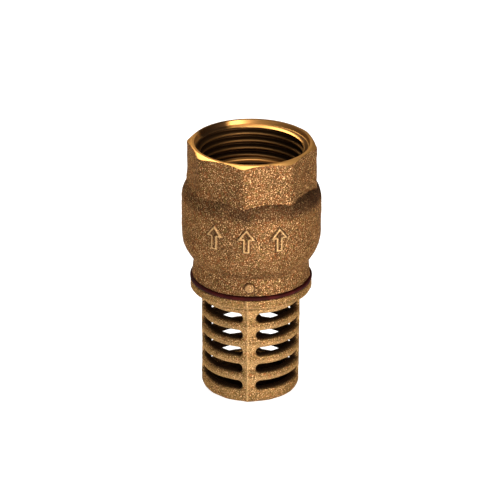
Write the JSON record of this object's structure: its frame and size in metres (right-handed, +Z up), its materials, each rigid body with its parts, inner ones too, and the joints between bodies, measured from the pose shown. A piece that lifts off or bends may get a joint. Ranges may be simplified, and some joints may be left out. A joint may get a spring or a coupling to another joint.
{
  "type": "foot valve",
  "caption": "Cast bronze foot valve: octagonal top with female pipe thread, bulged chamber, gasket and slotted strainer basket.",
  "frame": {"origin": "middle of the strainer basket's underside, which is the lowest point", "axes": "+Z up the valve's axis to the pipe end, which is the way the water flows; -Y is the front, with the flow arrows"},
  "size_m": [0.041, 0.0416, 0.0784],
  "materials": {
    "cast_bronze": "sand-cast, grainy, with machined rim and thread",
    "cast_bronze_basket": "sand-cast, grainy",
    "fibre_gasket": "matt dark red fibre",
    "turned_brass": "turned, satin",
    "seal_rubber": "matt black moulded rubber",
    "stainless_steel": "drawn wire and stamped sheet, satin",
    "bush_plastic": "matt ivory"
  },
  "bodies": {
    "housing": {"valve_body": "cast_bronze", "strainer_basket": "cast_bronze_basket", "joint_gasket": "fibre_gasket", "guide_bush": "bush_plastic", "spring_seat_washer": "stainless_steel", "return_spring": "stainless_steel"},
    "poppet": {"valve_disc": "turned_brass", "guide_stem": "turned_brass", "seat_seal": "seal_rubber", "seal_washer": "turned_brass", "lock_washer": "stainless_steel", "stem_nut": "turned_brass"}
  },
  "joints": [
    {"name": "poppet_lift", "type": "slide", "parent": "housing", "child": "poppet", "axis": [0, 0, 1], "range_m": [0, 0.006], "stiffness_N_per_m": 120, "springref_m": -0.006, "deforming": ["return_spring"]}
  ]
}
